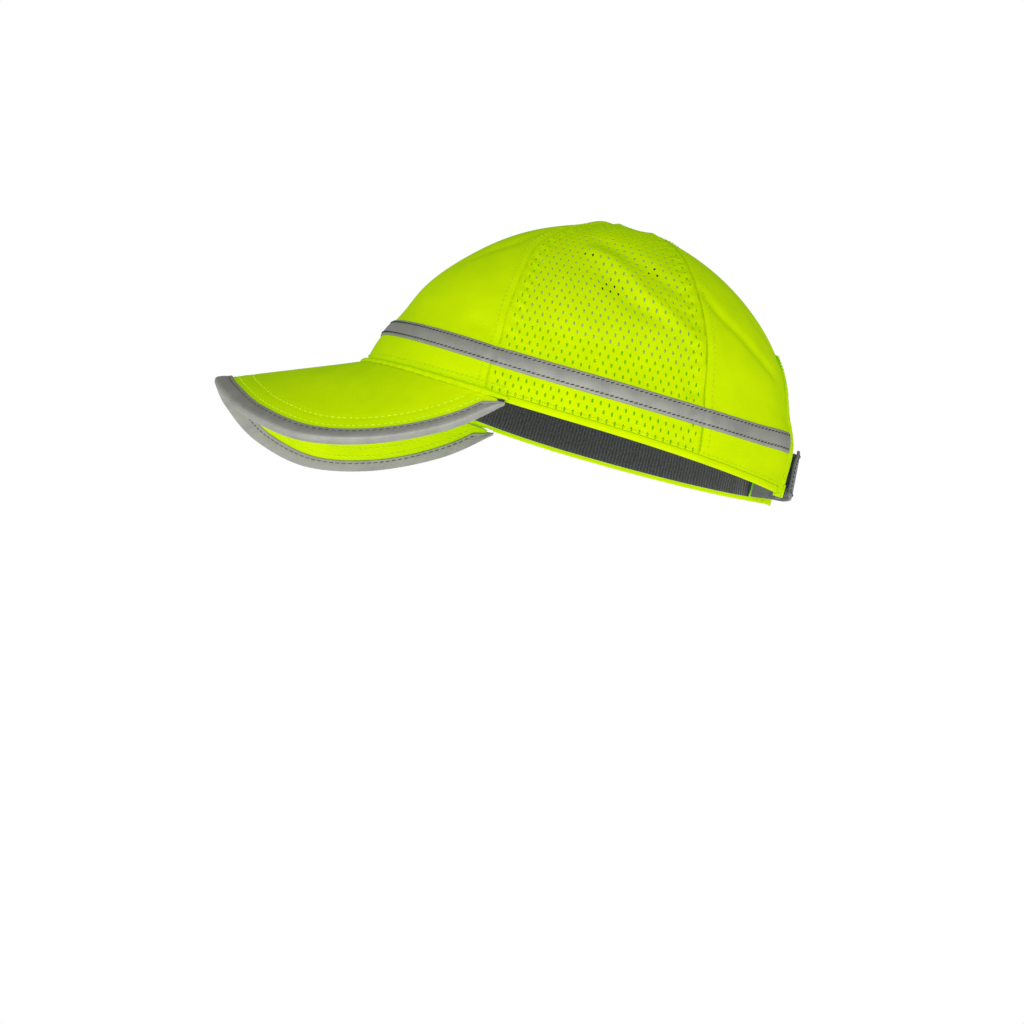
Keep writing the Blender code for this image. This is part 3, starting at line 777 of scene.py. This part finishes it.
def arch_edge(lift=0.0):
    """Places along the rear arch's edge, `lift` mm up from it."""
    rising = np.linspace(3, 90, ARCH_POINTS)
    aside, climb = arch_point(rising)
    lon = np.concatenate((180.0 - aside, (180.0 + aside)[-2::-1]))
    lat = np.concatenate((climb, climb[-2::-1]))
    points, outward = skin(lon, lat), crown_normal(lon, lat)
    along = unit(np.gradient(points, axis=0))
    off = unit(np.cross(along, outward))
    return points - lift * off, off, outward


def arch():
    points, off, outward = arch_edge()
    edge_fold("arch_roll", points, off, outward, FOLD, 6.0, 4.6, "rear_arch_binding", 0.6)
    inner, _, _ = arch_edge(3.6)
    row = (inner + 0.75 * outward, outward)
    stitches("arch_stitches", [row], LIME_THREAD, 2.6, 1.9, 0.22)


def arch_feet():
    """Layers of cloth turned in round the strap at each foot of the arch."""
    turn = np.linspace(-0.3, math.pi + 0.5, 22)
    rise = np.array((-1.6, -0.6, 1.5, 4.5))
    for side, sign in SIDES:
        lon = sign * ARCH_FOOT
        outward, centre = crown_normal(lon, 0.0), crown(lon, 0.0, -1.7)
        aside = unit(np.cross(UP, outward)) * sign
        for k, radius in enumerate((2.5, 1.45)):
            layers = []
            for r, heights in ((radius, rise), (radius - 0.6, rise[::-1])):
                for h in heights:
                    ring = r * (np.cos(turn)[:, None] * outward + np.sin(turn)[:, None] * aside * 0.9)
                    layers.append(centre + ring + (h + 0.3 * k) * UP)
            swept_piece(f"foot_roll_{side}_{k + 1}", np.stack(layers, 1), FOLD)


def seam_line(seam, sign, offset, low=3.0, high=80.0, out=0.12):
    """A sewn line `offset` mm behind a seam, with the cloth's normals along it."""
    lat = np.linspace(low, high, 160)
    lon = sign * (seam(lat) + offset / mm_per_degree(lat))
    return skin(lon, lat, out), crown_normal(lon, lat)


def seam_work():
    """Topstitching beside each seam, and the thread that shows down the seam itself."""
    rows, cords = [], []
    for sign in (1, -1):
        rows.append(seam_line(front_seam, sign, -3.0))
        rows.append(seam_line(rear_seam, sign, 3.4))
        cords.append(seam_line(rear_seam, sign, 0.0, 2.0, 82.0, 0.22))
    stitches("seam_topstitches", rows, LIME_THREAD, 2.7, 2.0, 0.22)
    stitches("seam_threads", cords, OLIVE_THREAD, 1.9, 1.86, 0.17)


def seam_tapes():
    plans = [("front_centre", front_centre, 1, 20.0), ("rear_centre", rear_centre, 1, 42.9)]
    for side, sign in SIDES:
        plans += [(f"front_{side}", front_seam, sign, 20.0), (f"rear_{side}", rear_seam, sign, 20.0)]
    for name, seam, sign, lowest in plans:
        lat, aside = grid(np.linspace(lowest, 76.0, 70), np.linspace(-1, 1, 9))
        lon = sign * (seam(lat) + aside * 6.0 / mm_per_degree(lat))
        out = -2.35 - 0.15 * np.abs(aside) ** 4
        piece = sheet_piece(f"bias_tape_{name}", crown(lon, lat, out), FOLD, 0.3)
        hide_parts(f"seam_tape_{name}")


BAND_END = 151.0
BAND_MIDDLE, BAND_HALF = 15.8, 15.1  # heights


def sweatband():
    """Padded terry band, rounded in section and quilted along its length, with a lime outer face."""
    lon = np.linspace(-BAND_END, BAND_END, 300)
    up, out = rounded_box(28, 0.45, 0.8)
    height = BAND_MIDDLE + BAND_HALF * up
    quilt = 0.16 * np.cos(height / 30 * 6 * math.pi) * (out < 0)
    puff = 0.12 * np.sin(lon * 0.9)[:, None] * (out < 0)
    depth = -4.3 + 0.95 * out + quilt
    lat = latitude_at(np.clip(height, 0.6, 31))
    sections = crown(lon[:, None], lat, depth + puff)
    piece = swept_piece("terry_sweatband", sections, TERRY)
    piece.data.materials.append(FOLD)
    heart = Vector(to_row((0, 0, 15)))
    for face in piece.data.polygons:
        way = (face.center - heart).normalized()
        face.material_index = 1 if face.normal.dot(way) > 0.35 else 0
    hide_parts("sweatband")


def lining_strip():
    """Thin lining that closes the space between the sweatband's top edge and the shell."""
    heights = np.linspace(28.5, 40.0, 9)
    lat, lon = grid(latitude_at(heights), np.linspace(-150, 150, 220))
    slack = 0.12 * np.sin(lon * 0.8) * np.sin(lat * 0.9)
    sheet_piece("lining_strip", crown(lon, lat, slack - 2.9), FOLD, 0.25)


# ---- pads

PAD_LAYER = (-8.7, -12.3)
PADS = (
    ("front_pad", (-30.0, 30.0), (25.0, 44.0)),
    ("side_pad_left", (66.0, 108.0), (27.0, 46.0)),
    ("side_pad_right", (-108.0, -66.0), (27.0, 46.0)),
    ("rear_pad", (162.0, 198.0), (44.0, 55.0)),
    ("crown_pad", (0.0, 360.0), (58.0, 78.0)),
)
PAD_VOXEL, PAD_CAP = 1.6, 0.7
PAD_FRAMES, PAD_PRESSURE = 20, 4.0


def puffed(piece):
    """Remeshes the pad, blows it up as cloth, and keeps each point within the cap."""
    remesh = piece.modifiers.new("voxels", "REMESH")
    remesh.mode = "VOXEL"
    remesh.voxel_size = PAD_VOXEL * MM
    solid = piece.evaluated_get(bpy.context.evaluated_depsgraph_get())
    made = bpy.data.meshes.new_from_object(solid)
    piece.modifiers.clear()
    piece.data = made
    rest = np.array([v.co for v in made.vertices])
    cloth = piece.modifiers.new("cloth", "CLOTH")
    cloth.settings.quality = 4
    cloth.settings.mass = 0.15
    cloth.settings.use_pressure = True
    cloth.settings.uniform_pressure_force = PAD_PRESSURE
    cloth.settings.effector_weights.gravity = 0.0
    scene = bpy.context.scene
    for step in range(1, PAD_FRAMES + 1):
        scene.frame_set(step)
    blown = piece.evaluated_get(bpy.context.evaluated_depsgraph_get())
    moved = np.array([v.co for v in blown.data.vertices])
    piece.modifiers.clear()
    scene.frame_set(1)
    if moved.shape == rest.shape and np.isfinite(moved).all():
        shift = moved - rest
        shift -= shift.mean(0)
        far = np.linalg.norm(shift, axis=1, keepdims=True)
        rest = rest + shift * np.minimum(1.0, PAD_CAP * MM / np.maximum(far, 1e-9))
    made.vertices.foreach_set("co", rest.astype(np.float32).ravel())
    store_cloth(made, rest / MM)
    made.update()
    made.shade_smooth()
    smooth = piece.modifiers.new("smooth", "SUBSURF")
    smooth.levels = smooth.render_levels = 1


def pads():
    for node, lons, lats in PADS:
        ring = lons[1] - lons[0] == 360.0
        lon = np.linspace(*lons, 97 if ring else 40)[: 96 if ring else None]
        up, out = rounded_box(40, 0.5, 0.5)
        low, high = lats[0] + 0.4, lats[1] - 0.4
        lat = (low + high) / 2 + (high - low) / 2 * up
        near, far = PAD_LAYER
        depth = (near + far) / 2 + (near - far) / 2 * out
        sections = crown(lon[:, None], lat, depth)
        piece = swept_piece(f"foam_{node}", sections, FOAM, "shell", ring)
        puffed(piece)
        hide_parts(node)


# ---- button

BUTTON_BASE = 2.3
BUTTON_RADIUS, BUTTON_HEIGHT, BUTTON_RIM = 7.5, 2.0, 0.6


def button():
    turn = full_turn(56)
    dome = BUTTON_HEIGHT - BUTTON_RIM
    outline = [(0.6, 0.0), (6.4, 0.0), (7.1, 0.15), (BUTTON_RADIUS, BUTTON_RIM)]
    for a in np.linspace(0.15, 1.5, 12):
        outline.append((BUTTON_RADIUS * math.cos(a), BUTTON_RIM + dome * math.sin(a)))
    base = crown_surface(0.0, 90.0) + BUTTON_BASE * UP
    rings = []
    for radius, height in outline:
        reach = radius * (1 + 0.012 * np.sin(18 * turn) * smooth_step(4.5, BUTTON_RADIUS, radius))
        ring = np.stack((reach * np.cos(turn), reach * np.sin(turn), 0 * turn + height), -1)
        rings.append(base + ring)
    made = Maker("button_cloth", 0.75, sheen=0.2)
    made.color(made.noise(4.0), (0.035, 0.042, 0.055), (0.07, 0.08, 0.095))
    made.bump(made.add(made.wave(0.6, 0), made.wave(0.6, 90)), 0.5, 0.1)
    piece = swept_piece("button_dome", np.array(rings), made.material)
    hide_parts("top_button")


# ---- visor


def visor_edge(position):
    """Smooth curve through VISOR_EDGE and its mirror, from -1 on the right to 1 on the left."""
    edge = np.array(VISOR_EDGE)
    full = np.concatenate((edge[:0:-1] * (1, -1, 1), edge))
    full = np.concatenate(([2 * full[0] - full[1]], full, [2 * full[-1] - full[-2]]))
    count = len(full) - 3
    place = (position + 1) / 2 * count
    i = np.clip(place.astype(int), 0, count - 1)
    t = (place - i)[..., None]
    before, a, b, after = full[i], full[i + 1], full[i + 2], full[i + 3]
    point = (
        a
        + 0.5 * t * (b - before)
        + t * t * (before - 2.5 * a + 2 * b - 0.5 * after)
        + t**3 * 0.5 * (3 * (a - b) + after - before)
    )
    return np.stack((point[..., 1], -point[..., 0], point[..., 2]), -1)


def visor_line(position):
    """Where each line across the visor starts at the crown and ends inside the rim."""
    root = crown(VISOR_ROOT_LONGITUDE * position, 0.0, 0.9)
    edge = visor_edge(position)
    way = unit(edge - root)
    return root + 1.2 * way, edge - 1.2 * way


def visor_point(position, share, out):
    position, share, out = np.broadcast_arrays(position, share, out)
    root, edge = visor_line(position)
    return root + share[..., None] * (edge - root) + out[..., None] * visor_normal(position, share)


def visor_normal(position, share, step=0.01):
    def at(p):
        root, edge = visor_line(p)
        return root + share[..., None] * (edge - root)

    root, edge = visor_line(position)
    return unit(np.cross(edge - root, at(position + step) - at(position - step)))


def visor():
    position = np.linspace(-VISOR_SPAN, VISOR_SPAN, 170)
    root, edge = visor_line(position)
    depth = np.linalg.norm(edge - root, axis=1)
    share = np.linspace(0, 1, 48)
    p, s = grid(position, share)
    off_edge = (1 - s) * depth[:, None]
    dent = sum(0.28 * np.exp(-(((off_edge - r) / 0.9) ** 2)) for r in VISOR_ROWS)
    slack = 0.16 * np.sin(p * 21 + s * 3) * np.sin(s * math.pi)
    for face, way in (("top", 1), ("under", -1)):
        places = visor_point(p, s, way * (VISOR_FACE - dent) + slack * 0.6)
        name, heart = f"visor_cloth_{face}", (0, -100, -200 * way)
        piece = sheet_piece(name, places, TWILL, VISOR_CLOTH, inside=heart)
        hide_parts(f"visor_{face}_cover")

    lines = []
    for r in VISOR_ROWS:
        at = 1 - r / depth
        keep = at > 0.1
        for way in (1, -1):
            points = visor_point(position[keep], at[keep], way * (VISOR_FACE - 0.12))
            lines.append((points, way * visor_normal(position[keep], at[keep])))
    stitches("visor_stitches", lines, VISOR_THREAD, 3.0, 2.2, 0.28)
    visor_roll()
    visor_root_fold()


def visor_roll():
    """Binding rolled round the visor's rim, gathered along its sewn ditch."""
    fine = np.linspace(-RIM_SPAN, RIM_SPAN, 2000)
    _, path = visor_line(fine)
    run = travel_along(path)
    count = int(run[-1] / 0.9)
    travel = np.linspace(0, run[-1], count)
    position = np.interp(travel, run, fine)
    root, edge = visor_line(position)
    depth = np.linalg.norm(edge - root, axis=1)
    leaf = np.minimum(8.0, 0.7 * depth)
    across = unit(edge - root)
    taper = 0.5 + 0.5 * smooth_step(0, 5.5, np.minimum(travel, run[-1] - travel))
    normal = visor_normal(position, np.ones(count)) * taper[:, None]
    upper = [(-1, 1.62), (-0.97, 2.1), (-0.86, 2.3), (-RIM_DITCH, 1.95), (-0.6, 2.35)]
    upper += [(-0.35, 2.6), (-0.1, 2.55)]
    lip = [(0.35, 2.1), (0.85, 1.25), (1.15, 0.0), (0.85, -1.25), (0.35, -2.1)]
    lower = [(b, -n) for b, n in upper[::-1]]
    pucker = np.sin(2 * math.pi * travel / 3.2 + np.sin(travel / 11))
    sections = []
    for part, scaled in ((upper, True), (lip, False), (lower, True)):
        for b, n in part:
            along = b * leaf if scaled else np.full(count, b)
            gather = pucker * (0.14 if scaled else 0.05)
            near = math.exp(-(((b + RIM_DITCH) / 0.22) ** 2)) if scaled else 1.0
            out = n + math.copysign(1.0, n) * gather * near if n else 0 * travel
            sections.append(edge + along[:, None] * across + out[:, None] * normal)
    inner = [(-1, -1.3), (-0.5, -1.35), (-0.5, 1.35), (-1, 1.3)]
    hidden = [edge + (b * leaf * 0.98)[:, None] * across + n * normal for b, n in inner]
    sections += hidden[:2] + [edge + 0.3 * across] + hidden[2:]
    piece = swept_piece("visor_rim_roll", np.stack(sections, 1), SILVER)
    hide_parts("visor_binding")
    ditch = edge - (RIM_DITCH * leaf)[:, None] * across
    ditch, normal = ditch[RIM_ENDS], normal[RIM_ENDS]
    rows = [(ditch + 2.0 * normal, normal), (ditch - 2.0 * normal, -normal)]
    stitches("visor_rim_stitches", rows, RIM_THREAD, 3.2, 2.5, 0.24)


def visor_root_fold():
    """Rolled fold of cloth where the crown meets the visor, with its topstitch above."""
    lon = np.linspace(-ROOT_FOLD_END, ROOT_FOLD_END, 190)
    thin = smooth_step(0, 8, ROOT_FOLD_END - np.abs(lon))
    radius = (0.7 + 0.8 * thin) * (1 + 0.1 * np.sin(lon * 1.7) + 0.06 * np.sin(lon * 3.1))
    centre = crown(lon, 0.0, 1.55) + 0.7 * UP
    outward = crown_normal(lon, 0.0)
    turn = full_turn(12)
    sections = (
        centre[:, None, :]
        + (radius[:, None] * np.cos(turn))[..., None] * outward[:, None, :]
        + (1.25 * radius[:, None] * np.sin(turn))[..., None] * UP
    )
    swept_piece("visor_root_fold", sections, FOLD)
    lat = latitude_at(5.6) + 0 * lon
    row = (skin(lon, lat, 0.12), crown_normal(lon, lat))
    stitches("visor_root_stitches", [row], LIME_THREAD, 2.8, 2.1)


# ---- rear straps


def strap_surface(lon, height, out):
    lon, height, out = np.broadcast_arrays(lon, height, out)
    upright = (1 - smooth_step(STRAP_STRAIGHT, STRAP_TUCKED, np.abs(lon - 180.0)))[..., None]
    outward = crown_normal(lon, 0 * lon)
    wall = crown_surface(lon, 0 * lon) + height[..., None] * UP
    wall = wall + (out - STRAP_LEAN * height)[..., None] * outward
    return upright * wall + (1 - upright) * crown(lon, latitude_at(height), out)


def strap_grid(span, out, columns=70, inset=0.0, cut=0.0):
    """Grid over a strap. `cut` takes the first end's top corner off at 45 degrees, in mm."""
    low, high = STRAP_HEIGHTS[0] + inset, STRAP_HEIGHTS[1] - inset
    height = np.linspace(low, high, 17)
    share = np.linspace(0, 1, columns)
    start = span[0] + np.maximum(height - (high - cut), 0.0) / STRAP_SCALE
    lon = start + share[:, None] * (span[1] - start)
    edge = np.minimum(height - low, high - height)
    lip = 0.22 * np.exp(-((edge / 0.7) ** 2))
    level = out(lon) if callable(out) else out
    height = height + 0 * lon
    return strap_surface(lon, height, level - lip), np.stack((lon * 1.9, height), -1)


def hook_out(lon):
    """How far the hook strap stands off the crown: it steps down where it leaves the loop strap."""
    return 0.9 - STRAP_STEP * smooth_step(STRAP_STEP_START, STRAP_STEP_END, lon)


def strap_rows(span, out, inset, cut=0.0):
    """A stitched line parallel to a strap's long edges and its cut end."""
    low, high = STRAP_HEIGHTS[0] + inset, STRAP_HEIGHTS[1] - inset
    first = span[0] + inset / STRAP_SCALE
    cut = max(cut - inset * 0.4, 0.0)
    corner = first + cut / STRAP_SCALE
    turns = ((span[1], low), (first, low), (first, high - cut), (corner, high), (span[1], high))
    runs = [np.linspace(a, b, n) for a, b, n in zip(turns, turns[1:], (50, 20, 10, 50))]
    lon, height = np.concatenate(runs).T
    level = out(lon) if callable(out) else out
    return strap_surface(lon, height, level + 0.1), crown_normal(lon, 0 * lon)


def straps():
    rear = (0, 40, 12)
    places, cloth = strap_grid((152.3, 190.0), -3.3)
    piece = sheet_piece("strap_loop_side", places, WEBBING, 0.9, cloth, rear)
    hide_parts("loop_strap")
    pile_cloth = pile("loop_pile", 0.9)
    places, cloth = strap_grid((169.0, 189.0), -1.95, 60, STRAP_INSET)
    piece = sheet_piece("loop_pile_patch", places, pile_cloth, 0.8, cloth, rear)
    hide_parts("loop_patch")
    places, cloth = strap_grid((HOOK_START, 207.7), hook_out, 110, 0.0, HOOK_CORNER)
    piece = sheet_piece("strap_hook_side", places, WEBBING, 1.0, cloth, rear, None)
    turning = [to_row(strap_surface(lon, 12.5, float(hook_out(lon)))) for lon in (198.6, 196.4)]
    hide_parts("strap_base_right", "hook_strap")
    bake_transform(piece)
    pile_cloth, tab = pile("hook_pile", 0.6), "hook_tab"
    places, cloth = strap_grid((168.5, 188.0), -0.55, 60, STRAP_INSET)
    piece = sheet_piece("hook_pile_patch", places, pile_cloth, 0.8, cloth, rear, tab)
    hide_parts("hook_patch")
    row = strap_rows((HOOK_START, 194.0), hook_out, STRAP_INSET, HOOK_CORNER)
    stitches("strap_tab_stitches", [row], GREY_THREAD, 2.2, 1.7, 0.2, body=tab)
    row = strap_rows((153.0, 163.0), -3.3, STRAP_INSET)
    stitches("strap_band_stitches", [row], GREY_THREAD, 2.2, 1.7, 0.2)


# ---- carried-over nodes, camera and light


def finish_cad_nodes():
    """New materials for the three nodes that keep their CAD meshes."""
    steel = Maker("rivet_metal", 0.35, metallic=1.0)
    steel.color(steel.noise(3.0), (0.42, 0.43, 0.44), (0.6, 0.61, 0.62))
    steel.bump(steel.noise(0.8), 0.2, 0.05)
    white = ((0.66, 0.67, 0.64), (0.76, 0.77, 0.74))
    board = ((0.60, 0.60, 0.58), (0.70, 0.70, 0.68))
    finishes = {
        # The shell's glow is painted light: a faint constant emission that keeps the shell pale where it
        # shows through the mesh slots
        "protective_shell": plastic("shell_plastic_white", *white, 0.42, 0.8, (0.1, 0.1, 0.085)),
        "visor_board": plastic("board_plastic", *board, 0.6, 1.2),
        "button_rivet": steel.material,
    }
    for node, material in finishes.items():
        for holder in frame["nodes"][node].material_slots:
            holder.link = "OBJECT"
            holder.material = material


YAW, ELEVATION, ROLL = math.radians(1.0), math.radians(-4.26), math.radians(16.33)
AIM_X, AIM_Y, DISTANCE = 30.6, 35.6, 2000.0
LENS, SENSOR = 144.1, 36.0
FLOOR_RADIUS, FLOOR_DROP = 12.0, 1.6  # metres
LIGHTS = (  # place and target in metres, size in metres, power in watts
    ("key", (1.6, -0.35, 0.05), (0, 0, 0.06), 0.9, 10.0),
    ("front", (0.5, -1.6, 0.1), (0, 0, 0.05), 0.9, 3.0),
    ("low", (0.5, -0.5, -0.75), (0, 0, 0.03), 0.5, 1.2),
    ("rear", (1.3, 0.95, 0.1), (0, 0.05, 0.05), 0.7, 4.6),
)


def camera():
    """Camera aimed in the cap's own frame, from a little below its hem."""
    forward, left = np.array((0, -1.0, 0)), np.array((1.0, 0, 0))
    right = -math.cos(YAW) * forward + math.sin(YAW) * left
    ahead = -math.cos(YAW) * left - math.sin(YAW) * forward
    rise = UP * math.cos(ELEVATION) + ahead * math.sin(ELEVATION)
    look = ahead * math.cos(ELEVATION) - UP * math.sin(ELEVATION)
    cam_x = right * math.cos(ROLL) + rise * math.sin(ROLL)
    cam_y = -right * math.sin(ROLL) + rise * math.cos(ROLL)
    place = -AIM_X * cam_x - AIM_Y * cam_y - DISTANCE * look
    ways = [Vector(to_row(w * 1000) - to_row(np.zeros(3))) for w in (cam_x, cam_y, -look)]
    data = bpy.data.cameras.new("camera")
    data.lens, data.sensor_width = LENS, SENSOR
    data.clip_start, data.clip_end = 0.1, 20.0
    thing = place_object("camera", data)
    turn = Matrix(ways).transposed().to_4x4()
    thing.matrix_world = Matrix.Translation(Vector(to_row(place))) @ turn
    bpy.context.scene.camera = thing


def area_light(name, place, target, size, power):
    data = bpy.data.lights.new(name, "AREA")
    data.shape, data.size, data.energy = "DISK", size, power
    thing = place_object(name, data)
    thing.location = place
    thing.rotation_mode = "QUATERNION"
    thing.rotation_quaternion = (Vector(target) - Vector(place)).to_track_quat("-Z", "Y")


def studio():
    """White surroundings: dimmer from above as light, plain white to the camera."""
    scene = bpy.context.scene
    scene.view_settings.view_transform = "Standard"
    world = bpy.data.worlds.new("studio")
    scene.world = world
    world.use_nodes = True
    tree = world.node_tree
    link, new = tree.links.new, tree.nodes.new
    plain, seen = tree.nodes["Background"], new("ShaderNodeBackground")
    put(plain, {"Color": (1.0, 1.0, 1.0, 1.0)})
    put(seen, {"Color": (1.0, 1.0, 1.0, 1.0), "Strength": 1.0})
    way, level = new("ShaderNodeSeparateXYZ"), new("ShaderNodeMapRange")
    link(new("ShaderNodeTexCoord").outputs["Generated"], way.inputs[0])
    link(way.outputs["Z"], level.inputs["Value"])
    put(level, {"From Min": -0.2, "From Max": 0.9, "To Min": 0.5, "To Max": 0.24})
    link(level.outputs["Result"], plain.inputs["Strength"])
    mix = new("ShaderNodeMixShader")
    link(new("ShaderNodeLightPath").outputs["Is Camera Ray"], mix.inputs["Fac"])
    link(plain.outputs[0], mix.inputs[1])
    link(seen.outputs[0], mix.inputs[2])
    link(mix.outputs[0], tree.nodes["World Output"].inputs["Surface"])
    for light in LIGHTS:
        area_light(*light)
    mesh = bpy.data.meshes.new("floor")
    turn = full_turn(96)
    rim = np.stack((FLOOR_RADIUS * np.cos(turn), FLOOR_RADIUS * np.sin(turn), 0 * turn - FLOOR_DROP), -1)
    mesh.from_pydata(rim.tolist(), [], [tuple(range(len(turn)))])
    floor = place_object("floor", mesh)
    made = Maker("pale_floor", 0.9, glow=(0.62, 0.62, 0.62))
    made.color(made.noise(900.0), (0.86, 0.86, 0.86), (0.88, 0.88, 0.88))
    mesh.materials.append(made.material)


camera()
studio()
front_panels()
side_meshes()
rear_panels()
reflective_tape()
hems()
arch()
arch_feet()
seam_work()
seam_tapes()
sweatband()
lining_strip()
pads()
button()
visor()
straps()
finish_cad_nodes()
